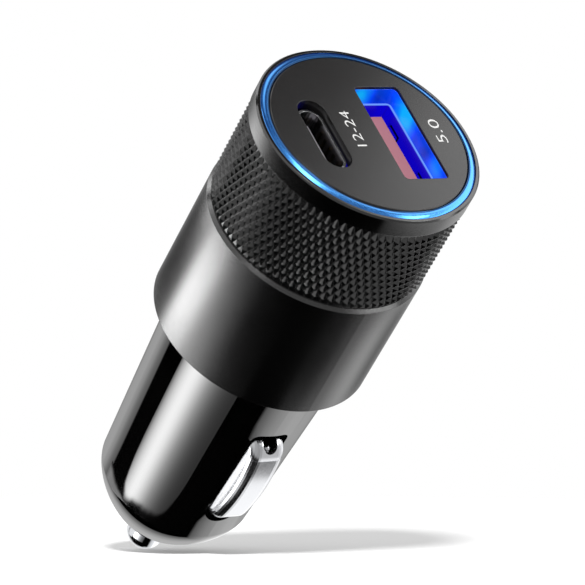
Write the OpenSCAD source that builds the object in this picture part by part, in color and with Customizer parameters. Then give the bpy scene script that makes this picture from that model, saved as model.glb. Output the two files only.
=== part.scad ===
// Charging plug for a vehicle's 12 volt socket, in millimetres.
// A knurled metal head carries two ports, and a tapered plug carries two bowed side
// contacts and a sprung centre contact.
// +Z runs along the axis towards the port face. z = 0 is the shoulder where the plug
// leaves the head. X runs along the ports' long side and through the side contacts.

/* [Head] */
// outside diameter of the head
head_d = 25.8; // [25:0.1:27.5]
// length of the head, from its shoulder to its rim
head_len = 30; // [29:0.5:34]
// wall between the head's bore and its outside
shell_wall = 1.2; // [1.1:0.05:1.3]
// distance from the rim down to the top of the knurled band
collar_len = 2.5; // [1.8:0.1:3]
// length of the knurled band along the axis
knurl_len = 11.3; // [9:0.1:12]
// diamonds around the head
knurl_count = 86; // [70:2:96]
// half rows of diamonds along the band
knurl_rows = 12; // [8:2:14]
// depth of the knurl's grooves
knurl_depth = 0.45; // [0.25:0.05:0.5]
// radial width of the coloured ring
ring_w = 0.9; // [0.7:0.05:1]
// height of the port face above the rim
face_rise = 0.2; // [0.1:0.05:0.4]

/* [Ports] */
// distance of the wide port's centre from the axis
port_a_off = 4.07; // [3.9:0.01:4.2]
// distance of the narrow port's centre from the axis
port_c_off = 5.75; // [5.5:0.05:6]
// depth of the coloured funnel in front of the wide port
funnel_deep = 2.1; // [1.8:0.1:2.4]
// depth of the narrow port's shell below the port face
port_c_deep = 0.9; // [0.6:0.1:1.2]

/* [Plug] */
// how far the head's shoulder stands out past the plug
shoulder = 2.32; // [2.2:0.02:2.6]
// how much the plug's radius shrinks from the shoulder to the nose
taper = 1.34; // [1:0.02:1.6]
// length of the straight taper below the shoulder
taper_len = 25.8; // [25.5:0.1:28]
// length of the rounded nose
nose_len = 9.57; // [9.2:0.05:11]
// wall of the plug
plug_wall = 1.3; // [1.1:0.05:1.5]
// length of the slot that each side contact comes out of
slot_len = 15.7; // [15.2:0.1:16]
// width of that slot
slot_w = 4.8; // [4.6:0.1:5.4]

/* [Contacts] */
// how far each side contact stands out past the plug, at the top of its bow
bow_out = 1.95; // [1.6:0.05:2.1]
// sheet thickness of the side contacts
leaf_t = 0.4; // [0.3:0.05:0.45]
// diameter of the centre contact
tip_d = 4.4; // [4:0.1:4.8]
// length of the centre contact that shows
tip_out = 3.7; // [3.2:0.1:4.2]
// diameter of the centre contact spring's wire
wire_d = 0.6; // [0.5:0.05:0.7]

/* [Hidden] */
$fn = 96;
eps = 0.01;

// ports and insides keep their share of the head: all three are 1 in the real one
ku = head_d / 25.8;
kv = head_len / 30;
kt = taper_len / 25.8;

// clearances that tie mating pieces together
slip = 0.08;        // pieces that are pushed into one another
running = 0.05;     // pieces that move in one another
ring_gap = 0.03;    // ring in its seat
face_gap = 0.07;    // dark line between the ring and the port face
seat_gap = 0.05;    // face plate's shoulder under the ring

// head shell
r_head = head_d / 2;
r_bore = r_head - shell_wall;
floor_t = 1.2;
knurl_top = head_len - collar_len;
knurl_low = knurl_top - knurl_len;
peak_inset = 0.05;
r_peak = r_head - peak_inset;
r_root = r_peak - knurl_depth;
core_sink = 0.06;
r_core = r_root - core_sink;
band_sink = 0.06;
end_ch = 0.32;
ledge_r = r_root + 0.1;
band_inner_r = r_root - 0.25;
foot_edge = 0.12;
rim_edge = 0.18;

// coloured ring and port face
rim_lip = 0.48;
r_seat = r_head - rim_lip;
ring_deep = 1.4;
ring_low = head_len - ring_deep;
r_ring = r_seat - ring_gap;
r_ring_in = r_ring - ring_w;
ring_top_out = head_len - 0.1;
ring_top_in = head_len + face_rise - 0.03;
face_top = head_len + face_rise;
face_t = 1.2;
face_edge = 0.12;
r_face = r_ring_in - face_gap;
r_skirt = r_bore - slip;
skirt_t = 0.9;
bead_out = 0.2;
bead_mid = 5.7;      // bead's distance below the port face
bead_half = 0.5;
bead_flat = 0.2;

// wide port
port_a_y = port_a_off * ku;
port_a_in = [12.5 * ku, 5.12 * ku];
port_a_wall = 0.3;
port_a_out = [port_a_in[0] + 2 * port_a_wall, port_a_in[1] + 2 * port_a_wall];
port_a_mouth = [13.7 * ku, 5.7 * ku];
port_a_corner = 0.55;
port_a_front = face_top - funnel_deep;
mouth_lip = 0.35;
surround_top = face_top - mouth_lip;
surround_out = [14.5 * ku, 6.7 * ku];
surround_low_in = [12.86 * ku, 5.48 * ku];
mouth_back = 0.05;
pocket_gap = 0.05;
tongue_a = [11.1 * ku, 1.84 * ku];
tongue_a_back = 0.6 * ku;
tongue_a_deep = 1.15;
tongue_a_y = port_a_y + port_a_in[1] / 2 - tongue_a_back - tongue_a[1] / 2;
tongue_a_face = tongue_a_y - tongue_a[1] / 2;
base_a_t = 2 * kv;
pin_a_x = [-3.5 * ku, -1 * ku, 1 * ku, 3.5 * ku];
pin_a_w = 1 * ku;
pin_a_t = 0.25;
pin_a_proud = 0.1;
pin_a_back = 0.75;   // from the tongue's end face back to the contact's end
finger_x = 3.6 * ku;
finger_w = 1.7 * ku;
finger_len = 4.6 * kv;
finger_low = 1.6 * kv;   // finger's free end below the shell's front
finger_lean = 3;
finger_cut = 0.35;
finger_bump = 0.34;
leg_x = port_a_out[0] / 2 - port_a_wall / 2;
leg_w = 1.4 * ku;
leg_gap = 0.1;

// narrow port
port_c_y = port_c_off * ku;
port_c_shell = [8.94 * ku, 3.16 * ku];
port_c_wall = 0.3;
port_c_mouth = [9.9 * ku, 3.5 * ku];
port_c_front = face_top - port_c_deep;
tongue_c = [6.69 * ku, 0.7 * ku];
tongue_c_deep = 1.2;
base_c_t = 1.5 * kv;
pin_c_pitch = 1.1 * ku;
pin_c_w = 0.5 * ku;
pin_c_t = 0.15;
pin_c_proud = 0.03;
pin_c_back = 0.6;
hole_gap = 0.06;     // board holes round the contacts' tails
tail_out = 0.7;      // how far the tails come out under the board

// boards
board_t = 1.2;
cup_top = 16.2 * kv;
board_top = cup_top + board_t;
r_plug = r_head - shoulder;
r_nose = r_plug - taper;
r_cup = r_bore - 0.1;
cup_wall = 1.3;
r_cup_in = r_cup - cup_wall;
cup_floor = floor_t + 1;
port_board_gap = 0.1;
r_port_board = r_cup - port_board_gap;
wide_half = r_cup_in - 0.2;

// parts on the power board: those in the head keep their share of the cup
coil_r = 4 * ku;
coil_h = 4.2 * ku;
coil_neck_r = 1.9 * ku;
coil_lip = 0.7 * ku;
coil_z = 9.2 * kv;
can_z = 4.6 * kv;
can_in = [3.15 * ku, 7.7 * kv];
can_in_x = -4.2 * ku;
can_out = [2.5 * ku, 7 * kv];
can_out_x = 3.6 * ku;
chip_a = [3.9 * ku, 1.4 * ku, 4.9 * kt];
chip_a_z = -5 * kt;
chip_a_pitch = 1.27 * kt;
chip_b = [3 * ku, 0.9 * ku, 3 * kt];
chip_b_z = -4 * kt;
chip_b_pitch = 0.9 * kt;
diode = [2.6 * ku, 2 * ku, 4.3 * kt];
diode_z = -12 * kt;
led = [1 * ku, 2 * ku, 0.4];
led_lens = [0.8 * ku, 1.4 * ku, 0.5];
led_gap = 1.12 * ku;

// centre contact and nose
nose_power = 1.4;
r_tip = tip_d / 2;
r_tip_hole = r_tip + running;
nose_end_t = acos(pow(r_tip_hole / r_nose, nose_power / 2));
nose_steps = 16;
hole_z = -taper_len - nose_len * pow(sin(nose_end_t), 2 / nose_power);
nose_floor = 1.8;
seat_z = hole_z + nose_floor;
flange_over = 0.8;
r_flange = r_tip + flange_over;
flange_t = 0.8;
r_well = r_flange + 0.2;
dome_z = hole_z - tip_out + r_tip;
spigot_r = 1.6;
spigot_len = 1.8;
flange_top = seat_z + flange_t;
terminal_up = 1.8;     // clip's foot above the start of the nose
terminal_z = terminal_up - taper_len;
terminal_t = 0.5;
terminal_r = r_well + 0.2;
tab_t = 0.4;
tab_half = 2;
tab_len = 5;
narrow_end = terminal_z + terminal_t;

// side contacts
slot_share = 0.71;     // part of the taper's spare length that lies above the slot
slot_top = -slot_share * (taper_len - slot_len);
slot_low = slot_top - slot_len;
slot_top_corner = 1;
slot_low_corner = 2.3;
crown_down = 6.4;      // top of the bow below the slot's upper end
crown_z = slot_top - crown_down;
r_at_crown = r_plug + taper * crown_z / taper_len;
crown_x = r_at_crown + bow_out;
bow_r = 25;
bow_x = crown_x - bow_r;
leaf_gap = 0.22;
leaf_w = slot_w - 2 * leaf_gap;
leaf_corner = 1.1;     // rounding along the leaf's long edges
wall_deep = 3;         // from the outside of the bow to its walls' free edges
bend_deep = 1.8;       // the same on the bends at its ends
top_r = 2.4;           // bends that bring the ends of the bow into the slot
low_r = 2;
tip_angle = 72;        // where the upper bend stops
bend_in = 0.015;       // the bends' surfaces start this far inside the bow's
bend_lap = 3;
leaf_top = slot_top - 0.8;
leaf_low = slot_low + 1.45;
top_z = leaf_top - top_r * sin(tip_angle);
low_z = leaf_low + low_r;
top_angle = asin((top_z - crown_z) / (bow_r - top_r));
low_angle = asin((low_z - crown_z) / (bow_r - low_r));
top_x = bow_x + (bow_r - top_r) * cos(top_angle);
low_x = bow_x + (bow_r - low_r) * cos(low_angle);
pivot_r = 0.4;
curl_in = pivot_r + running;
curl_out = curl_in + leaf_t;
pivot_z = leaf_low - curl_in;
pivot_back = 1.09;     // bar's centre inside the plug's wall
r_pivot_in = r_plug + taper * pivot_z / taper_len - plug_wall;
pivot_x = r_pivot_in - pivot_back;
pivot_half = sqrt(pow(r_pivot_in + plug_wall / 2, 2) - pow(pivot_x, 2));
narrow_half = pivot_x - curl_out - 0.65;
strap_half = leaf_w / 2 - leaf_corner;
notch_w = 1.85;
notch_len = 0.2;      // from the leaf's tips to the centre of the notch's round end
bead_r = 0.52;
bead_in = 1.65;        // how far the bead's centre lies behind the top of the bow
bead_down = 1.3;      // how far it lies below the leaf's upper end
neck_r = 0.3;

function rounded(w, h, r, n) = [for (q = [0:3]) for (k = [0:n])
    let (a = 90 * (q + k / n),
        cx = (q == 0 || q == 3 ? 1 : -1) * (w / 2 - r),
        cy = (q < 2 ? 1 : -1) * (h / 2 - r))
    [cx + r * cos(a), cy + r * sin(a)]];
function pill(w, h, n) = [for (s = [0:1]) for (k = [0:n])
    let (a = 180 * (s + k / n) - 90)
    [(1 - 2 * s) * (w - h) / 2 + h / 2 * cos(a), h / 2 * sin(a)]];
function nose_point(r, len, p, t) = [r * pow(cos(t), 2 / p), -len * pow(sin(t), 2 / p)];

module prism(points, low, high) {
    translate([0, 0, low])
        linear_extrude(height = high - low)
            polygon(points);
}

// funnel between two rounded outlines with the same count of points
module loft(low_points, low, high_points, high) {
    n = len(low_points);
    polyhedron(
        points = concat([for (p = low_points) [p[0], p[1], low]],
            [for (p = high_points) [p[0], p[1], high]]),
        faces = concat([[for (i = [0:n - 1]) i]],
            [[for (i = [0:n - 1]) 2 * n - 1 - i]],
            [for (i = [0:n - 1]) [i, n + i, n + (i + 1) % n, (i + 1) % n]]));
}

module box(low, high) {
    translate(low)
        cube([high[0] - low[0], high[1] - low[1], high[2] - low[2]]);
}

// raised diamonds: peaks where column + row is odd, grooves where it is even
module knurl_band() {
    cols = 2 * knurl_count;
    rows = knurl_rows;
    low = knurl_low - band_sink;
    step = (knurl_len + 2 * band_sink) / rows;
    outer = [for (n = [0:rows]) for (m = [0:cols - 1])
        let (edge = n == 0 || n == rows,
            r = !edge && (m + n) % 2 == 1 ? r_peak : r_root,
            a = 360 * m / cols)
        [r * cos(a), r * sin(a), low + n * step]];
    inner = [for (n = [0, rows]) for (m = [0:cols - 1])
        let (a = 360 * m / cols)
        [band_inner_r * cos(a), band_inner_r * sin(a), low + n * step]];
    base = (rows + 1) * cols;
    skin = [for (n = [0:rows - 1]) for (m = [0:cols - 1]) for (h = [0:1])
        let (m1 = (m + 1) % cols,
            p00 = n * cols + m, p10 = n * cols + m1,
            p01 = p00 + cols, p11 = p10 + cols,
            odd = (m + n) % 2 == 1)
        odd ? (h == 0 ? [p00, p01, p10] : [p11, p10, p01])
            : (h == 0 ? [p10, p00, p11] : [p01, p11, p00])];
    ends = [for (m = [0:cols - 1]) for (h = [0:1])
        let (m1 = (m + 1) % cols,
            o = h == 0 ? m : rows * cols + m, o1 = h == 0 ? m1 : rows * cols + m1,
            i = base + (h == 0 ? m : cols + m), i1 = base + (h == 0 ? m1 : cols + m1))
        h == 0 ? [o, o1, i1, i] : [o1, o, i, i1]];
    wall = [for (m = [0:cols - 1])
        let (m1 = (m + 1) % cols)
        [base + m, base + m1, base + cols + m1, base + cols + m]];
    polyhedron(points = concat(outer, inner), faces = concat(skin, ends, wall));
}

module head_shell() {
    r_hole = r_plug + running;
    groove_r = r_skirt + bead_out + 0.1;
    groove_z = face_top - bead_mid;
    groove_half = bead_half + 0.1;
    color([0.09, 0.09, 0.1])
    union() {
        rotate_extrude()
            polygon([[r_hole, 0], [r_head - foot_edge, 0], [r_head, foot_edge],
                [r_head, knurl_low - end_ch], [ledge_r, knurl_low],
                [r_core, knurl_low], [r_core, knurl_top], [ledge_r, knurl_top],
                [r_head, knurl_top + end_ch], [r_head, head_len - rim_edge],
                [r_head - rim_edge, head_len], [r_seat, head_len], [r_seat, ring_low],
                [r_bore, ring_low], [r_bore, groove_z + groove_half],
                [groove_r, groove_z + bead_flat + 0.05],
                [groove_r, groove_z - bead_flat - 0.05],
                [r_bore, groove_z - groove_half], [r_bore, floor_t], [r_hole, floor_t]]);
        knurl_band();
    }
}

module accent_ring() {
    color([0.16, 0.42, 0.85])
    rotate_extrude()
        polygon([[r_ring_in, ring_low], [r_ring, ring_low], [r_ring, ring_top_out],
            [r_ring - 0.1, ring_top_out + 0.05], [r_ring_in + 0.06, ring_top_in],
            [r_ring_in, ring_top_in - 0.06]]);
}

module face_plate() {
    bead_z = face_top - bead_mid;
    mouth = rounded(port_a_mouth[0], port_a_mouth[1], port_a_corner, 4);
    pocket = rounded(surround_out[0] + 2 * pocket_gap, surround_out[1] + 2 * pocket_gap,
        port_a_corner + 0.4, 4);
    color([0.2, 0.2, 0.2])
    difference() {
        rotate_extrude()
            polygon([[0, face_top - face_t], [0, face_top], [r_face - face_edge, face_top],
                [r_face, face_top - face_edge], [r_face, ring_low - seat_gap],
                [r_skirt, ring_low - seat_gap], [r_skirt, bead_z + bead_half],
                [r_skirt + bead_out, bead_z + bead_flat],
                [r_skirt + bead_out, bead_z - bead_flat],
                [r_skirt, bead_z - bead_half], [r_skirt, board_top],
                [r_skirt - skirt_t, board_top], [r_skirt - skirt_t, face_top - face_t]]);
        translate([0, port_a_y, 0]) {
            prism(mouth, face_top - face_t - eps, face_top + 1);
            prism(pocket, face_top - face_t - 1, surround_top);
        }
        translate([0, -port_c_y, 0])
            prism(pill(port_c_mouth[0], port_c_mouth[1], 12), face_top - face_t - 1,
                face_top + 1);
    }
}

module usb_a_surround() {
    back = 2 * mouth_back;
    color([0.05, 0.35, 0.95])
    translate([0, port_a_y, 0])
    difference() {
        prism(rounded(surround_out[0], surround_out[1], port_a_corner + 0.35, 4),
            port_a_front, surround_top);
        loft(rounded(surround_low_in[0], surround_low_in[1], port_a_corner - 0.05, 4),
            port_a_front - eps,
            rounded(port_a_mouth[0] - back, port_a_mouth[1] - back, port_a_corner, 4),
            surround_top + eps);
    }
}

// one sprung finger of the wide port's shell, on the wall at +Y
module port_a_finger() {
    root = 0.4;
    bump_in = 0.08;
    bump_low = 0.7;
    translate([0, port_a_in[1] / 2, port_a_front - finger_low - finger_len])
    rotate([finger_lean, 0, 0]) {
        box([-finger_w / 2, 0, -root], [finger_w / 2, port_a_wall, finger_len]);
        translate([-finger_w / 2, bump_in, finger_len - bump_low])
            rotate([0, 90, 0])
                cylinder(r = finger_bump, h = finger_w, $fn = 32);
    }
}

module port_a_window() {
    top = port_a_front - finger_low;
    half = finger_w / 2 + finger_cut;
    box([-half, port_a_in[1] / 2 - 2 * port_a_wall, top - finger_len],
        [half, port_a_out[1] / 2 + 2 * port_a_wall, top + finger_cut]);
}

module usb_a_shell() {
    color([0.7, 0.72, 0.76])
    translate([0, port_a_y, 0])
    union() {
        difference() {
            prism(rounded(port_a_out[0], port_a_out[1], port_a_corner, 4),
                board_top, port_a_front);
            prism(rounded(port_a_in[0], port_a_in[1], port_a_corner - 0.3, 4),
                board_top - 1, port_a_front + 1);
            for (x = [-finger_x, finger_x])
                for (s = [0, 180])
                    rotate([0, 0, s])
                        translate([x, 0, 0])
                            port_a_window();
        }
        for (x = [-finger_x, finger_x])
            for (s = [0, 180])
                rotate([0, 0, s])
                    translate([x, 0, 0])
                        port_a_finger();
        for (x = [-leg_x, leg_x])
            box([x - port_a_wall / 2, -leg_w / 2, cup_top - tail_out],
                [x + port_a_wall / 2, leg_w / 2, board_top + 1]);
    }
}

module usb_a_pin_box(i, grow) {
    x = pin_a_x[i];
    y = tongue_a_face - pin_a_proud;
    top = port_a_front - tongue_a_deep - pin_a_back;
    box([x - pin_a_w / 2 - grow, y - grow, cup_top - tail_out],
        [x + pin_a_w / 2 + grow, y + pin_a_t + grow, top]);
}

module usb_a_tongue() {
    gap = 0.06;
    end_ch_a = 0.35;
    end_z = port_a_front - tongue_a_deep;
    half = tongue_a[1] / 2;
    color([0.72, 0.46, 0.5])
    difference() {
        union() {
            translate([0, port_a_y, 0])
                box([gap - port_a_in[0] / 2, gap - port_a_in[1] / 2, board_top],
                    [port_a_in[0] / 2 - gap, port_a_in[1] / 2 - gap, board_top + base_a_t]);
            translate([-tongue_a[0] / 2, tongue_a_y, 0])
                rotate([90, 0, 90])
                    linear_extrude(height = tongue_a[0])
                        polygon([[-half, board_top + eps], [half, board_top + eps],
                            [half, end_z - end_ch_a], [half - end_ch_a / 2, end_z],
                            [end_ch_a / 2 - half, end_z], [-half, end_z - end_ch_a]]);
        }
        for (i = [0:3])
            usb_a_pin_box(i, 0);
    }
}

module usb_a_contact(i) {
    color([0.85, 0.7, 0.35])
        usb_a_pin_box(i, 0);
}

module usb_c_shell() {
    color([0.66, 0.66, 0.68])
    translate([0, -port_c_y, 0])
    difference() {
        prism(pill(port_c_shell[0], port_c_shell[1], 12), board_top, port_c_front);
        prism(pill(port_c_shell[0] - 2 * port_c_wall, port_c_shell[1] - 2 * port_c_wall, 12),
            board_top - 1, port_c_front + 1);
    }
}

module usb_c_pin_box(i, grow) {
    x = (i - 2.5) * pin_c_pitch;
    y = -port_c_y + tongue_c[1] / 2 + pin_c_proud;
    top = port_c_front - tongue_c_deep - pin_c_back;
    box([x - pin_c_w / 2 - grow, y - pin_c_t - grow, cup_top - tail_out],
        [x + pin_c_w / 2 + grow, y + grow, top]);
}

module usb_c_tongue() {
    gap = 0.05;
    edge = 0.15;
    end_z = port_c_front - tongue_c_deep;
    inner = [port_c_shell[0] - 2 * port_c_wall - 2 * gap,
        port_c_shell[1] - 2 * port_c_wall - 2 * gap];
    color([0.16, 0.16, 0.17])
    difference() {
        union() {
            translate([0, -port_c_y, 0])
                prism(pill(inner[0], inner[1], 12), board_top, board_top + base_c_t);
            translate([0, -port_c_y - tongue_c[1] / 2, 0])
                rotate([90, 0, 180])
                    linear_extrude(height = tongue_c[1])
                        polygon([[-tongue_c[0] / 2, board_top + eps],
                            [tongue_c[0] / 2, board_top + eps],
                            [tongue_c[0] / 2, end_z - edge],
                            [tongue_c[0] / 2 - edge, end_z],
                            [edge - tongue_c[0] / 2, end_z],
                            [-tongue_c[0] / 2, end_z - edge]]);
        }
        for (i = [0:5])
            usb_c_pin_box(i, 0);
    }
}

module usb_c_contact(i) {
    color([0.85, 0.7, 0.35])
        usb_c_pin_box(i, 0);
}

module port_board() {
    color([0.06, 0.28, 0.14])
    difference() {
        translate([0, 0, cup_top])
            cylinder(r = r_port_board, h = board_t);
        for (i = [0:3])
            usb_a_pin_box(i, hole_gap);
        for (i = [0:5])
            usb_c_pin_box(i, hole_gap);
        for (x = [-leg_x, leg_x])
            translate([x, port_a_y, 0])
                box([-port_a_wall / 2 - leg_gap, -leg_w / 2 - leg_gap, cup_top - 1],
                    [port_a_wall / 2 + leg_gap, leg_w / 2 + leg_gap, board_top + 1]);
    }
}

module power_board() {
    color([0.06, 0.28, 0.14])
    translate([0, board_t / 2, 0])
        rotate([90, 0, 0])
            linear_extrude(height = board_t)
                polygon([[-narrow_half, narrow_end], [narrow_half, narrow_end],
                    [narrow_half, cup_floor], [wide_half, cup_floor], [wide_half, cup_top],
                    [-wide_half, cup_top], [-wide_half, cup_floor], [-narrow_half, cup_floor]]);
}

module inductor_core() {
    color([0.22, 0.22, 0.24])
    translate([0, board_t / 2, coil_z])
        rotate([-90, 0, 0])
            rotate_extrude()
                polygon([[0, 0], [coil_r, 0], [coil_r, coil_lip], [coil_neck_r, coil_lip],
                    [coil_neck_r, coil_h - coil_lip], [coil_r, coil_h - coil_lip],
                    [coil_r, coil_h], [0, coil_h]]);
}

module inductor_winding() {
    gap = 0.02;
    rows = 6;
    bulge = 0.16;
    r_out = coil_r - 0.5;
    low = coil_lip + gap;
    pitch = (coil_h - 2 * coil_lip - 2 * gap) / rows;
    color([0.75, 0.4, 0.18])
    translate([0, board_t / 2, coil_z])
        rotate([-90, 0, 0])
            rotate_extrude()
                polygon(concat([[coil_neck_r + gap, low]],
                    [for (i = [0:rows - 1]) for (k = [0:2])
                        [r_out - (k == 1 ? 0 : bulge), low + pitch * (i + 0.12 + 0.38 * k)]],
                    [[coil_neck_r + gap, low + rows * pitch]]));
}

// metal can with a rolled groove near its foot, lying along the board
module can(size) {
    r = size[0];
    h = size[1];
    edge = 0.2 * ku;
    groove = 0.3 * ku;
    groove_z = 1.2 * kv;
    rotate_extrude()
        polygon([[0, 0], [r - edge, 0], [r, edge], [r, groove_z - groove],
            [r - groove, groove_z], [r, groove_z + groove], [r, h - edge],
            [r - edge, h], [0, h]]);
}

module input_capacitor() {
    color([0.55, 0.57, 0.6])
    translate([can_in_x, -board_t / 2 - can_in[0], can_z])
        can(can_in);
}

module output_capacitor() {
    color([0.55, 0.57, 0.6])
    translate([can_out_x, -board_t / 2 - can_out[0], can_z])
        can(can_out);
}

// flat packaged part with legs on its two long sides, standing on the board at +Y
module packaged(size, legs, pitch) {
    leg = 0.5 * ku;
    leg_t = 0.2 * ku;
    lift = 0.1 * ku;
    bite = leg_t / 2;
    union() {
        box([-size[0] / 2, lift, -size[2] / 2], [size[0] / 2, lift + size[1], size[2] / 2]);
        for (s = [-1, 1])
            for (i = [0:legs - 1])
                translate([s * (size[0] + leg) / 2, 0, (i - (legs - 1) / 2) * pitch])
                    union() {
                        box([-leg / 2 - bite, 0, -leg_t], [leg / 2 + bite, leg_t, leg_t]);
                        box([-s * leg / 2 - bite, 0, -leg_t],
                            [bite - s * leg / 2, lift + size[1] / 2, leg_t]);
                    }
    }
}

module converter_chip() {
    color([0.08, 0.08, 0.08])
    translate([0, board_t / 2, chip_a_z])
        packaged(chip_a, 4, chip_a_pitch);
}

module controller_chip() {
    color([0.08, 0.08, 0.08])
    translate([0, -board_t / 2, chip_b_z])
        rotate([0, 0, 180])
            packaged(chip_b, 3, chip_b_pitch);
}

module input_diode() {
    color([0.1, 0.1, 0.1])
    translate([0, -board_t / 2, diode_z])
        rotate([0, 0, 180])
            packaged(diode, 1, chip_b_pitch);
}

module port_led(s) {
    x = s * (r_skirt - skirt_t - led_gap - led[0] / 2);
    top = board_top + led[2];
    color([0.95, 0.96, 0.85])
        union() {
            box([x - led[0] / 2, -led[1] / 2, board_top], [x + led[0] / 2, led[1] / 2, top]);
            box([x - led_lens[0] / 2, -led_lens[1] / 2, top - eps],
                [x + led_lens[0] / 2, led_lens[1] / 2, top + led_lens[2]]);
        }
}

module positive_terminal() {
    color([0.8, 0.8, 0.78])
    union() {
        translate([0, 0, terminal_z])
            cylinder(r = terminal_r, h = terminal_t);
        for (s = [0, 180])
            rotate([0, 0, s])
                box([-tab_half, board_t / 2, terminal_z + terminal_t - 0.1],
                    [tab_half, board_t / 2 + tab_t, terminal_z + terminal_t + tab_len]);
    }
}

// coil swept from points, with half a turn lying flat at each end
module contact_spring() {
    r = r_tip + 0.15;
    wire_r = wire_d / 2;
    turns = 6;
    per_turn = 18;
    around = 8;
    n = turns * per_turn;
    flat_share = 0.5 / turns;
    low = flange_top + wire_r;
    high = terminal_z - wire_r;
    function rise(t) = t < flat_share ? 0 : t > 1 - flat_share ? 1
        : (t - flat_share) / (1 - 2 * flat_share);
    points = [for (i = [0:n]) for (k = [0:around - 1])
        let (t = i / n, a = 360 * turns * t, b = 360 * k / around,
            rr = r + wire_r * cos(b))
        [rr * cos(a), rr * sin(a), low + (high - low) * rise(t) + wire_r * sin(b)]];
    sides = [for (i = [0:n - 1]) for (k = [0:around - 1]) for (h = [0:1])
        let (k1 = (k + 1) % around,
            a0 = i * around + k, a1 = i * around + k1,
            b0 = a0 + around, b1 = a1 + around)
        h == 0 ? [a0, a1, b0] : [a1, b1, b0]];
    ends = [[for (k = [0:around - 1]) around - 1 - k],
        [for (k = [0:around - 1]) n * around + k]];
    color([0.75, 0.76, 0.78])
        polyhedron(points = points, faces = concat(sides, ends));
}

module centre_contact() {
    steps = 12;
    edge = 0.15;
    color([0.82, 0.83, 0.85])
    rotate_extrude()
        polygon(concat([for (k = [0:steps])
                [r_tip * sin(90 * k / steps), dome_z - r_tip * cos(90 * k / steps)]],
            [[r_tip, seat_z], [r_flange - edge, seat_z], [r_flange, seat_z + edge],
                [r_flange, flange_top], [spigot_r, flange_top],
                [spigot_r, flange_top + spigot_len - edge],
                [spigot_r - edge, flange_top + spigot_len], [0, flange_top + spigot_len]]));
}

module plug_body() {
    r_in = r_nose - plug_wall;
    in_len = nose_len - nose_floor;
    well_t = acos(pow(r_well / r_in, nose_power / 2));
    outer = [for (k = [0:nose_steps])
        nose_point(r_nose, nose_len, nose_power, nose_end_t * k / nose_steps)
            - [0, taper_len]];
    inner = [for (k = [nose_steps:-1:0])
        nose_point(r_in, in_len, nose_power, well_t * k / nose_steps) - [0, taper_len]];
    color([0.07, 0.07, 0.08])
    union() {
        difference() {
            rotate_extrude()
                polygon(concat([[r_cup, cup_top], [r_cup, floor_t], [r_plug, floor_t],
                        [r_plug, 0]],
                    outer, [[r_tip_hole, seat_z], [r_well, seat_z]], inner,
                    [[r_plug - plug_wall, 0], [r_plug - plug_wall, cup_floor],
                        [r_cup_in, cup_floor], [r_cup_in, cup_top]]));
            for (s = [0, 180])
                rotate([0, 0, s])
                    plate(slot_w, slot_low, slot_top, slot_low_corner, slot_top_corner,
                        pivot_x - 1, r_head);
        }
        for (x = [-pivot_x, pivot_x])
            translate([x, pivot_half, pivot_z])
                rotate([90, 0, 0])
                    cylinder(r = pivot_r, h = 2 * pivot_half, $fn = 32);
    }
}

// upright plate with rounded corners, its thickness from x0 to x1
module plate(w, low, top, low_r, top_r, x0, x1) {
    union() {
        box([x0, -w / 2, low + low_r], [x1, w / 2, top - top_r]);
        box([x0, low_r - w / 2, low], [x1, w / 2 - low_r, top]);
        for (s = [-1, 1]) {
            translate([x0, s * (w / 2 - low_r), low + low_r])
                rotate([0, 90, 0])
                    cylinder(r = low_r, h = x1 - x0, $fn = 48);
            translate([x0, s * (w / 2 - top_r), top - top_r])
                rotate([0, 90, 0])
                    cylinder(r = top_r, h = x1 - x0, $fn = 48);
        }
        box([x0, top_r - w / 2, top - top_r - eps], [x1, w / 2 - top_r, top]);
    }
}

// arc of the side contact's channel about the point x, z: r is its outer radius, and the
// inset makes it thinner on every side
module leaf_arc(x, z, r, start, end, deep, inset, smooth) {
    half = leaf_w / 2 - inset;
    edge_y = leaf_w / 2 - leaf_corner;
    edge_r = r - leaf_corner;
    outer = leaf_corner - inset;
    inner = leaf_corner - leaf_t + inset;
    free_r = r - deep + inset;
    wall_y = leaf_w / 2 - leaf_t + inset;
    n = 6;
    translate([x, 0, z])
        rotate([90, 0, 0])
            rotate([0, 0, start])
                rotate_extrude(angle = end - start, $fn = smooth)
                    polygon(concat([[free_r, half]],
                        [for (k = [0:n]) [edge_r + outer * sin(90 * k / n),
                            edge_y + outer * cos(90 * k / n)]],
                        [for (k = [0:n]) [edge_r + outer * cos(90 * k / n),
                            -edge_y - outer * sin(90 * k / n)]],
                        [[free_r, -half], [free_r, -wall_y]],
                        [for (k = [0:n]) [edge_r + inner * sin(90 * k / n),
                            -edge_y - inner * cos(90 * k / n)]],
                        [for (k = [0:n]) [edge_r + inner * cos(90 * k / n),
                            edge_y + inner * sin(90 * k / n)]],
                        [[free_r, wall_y]]));
}

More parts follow.
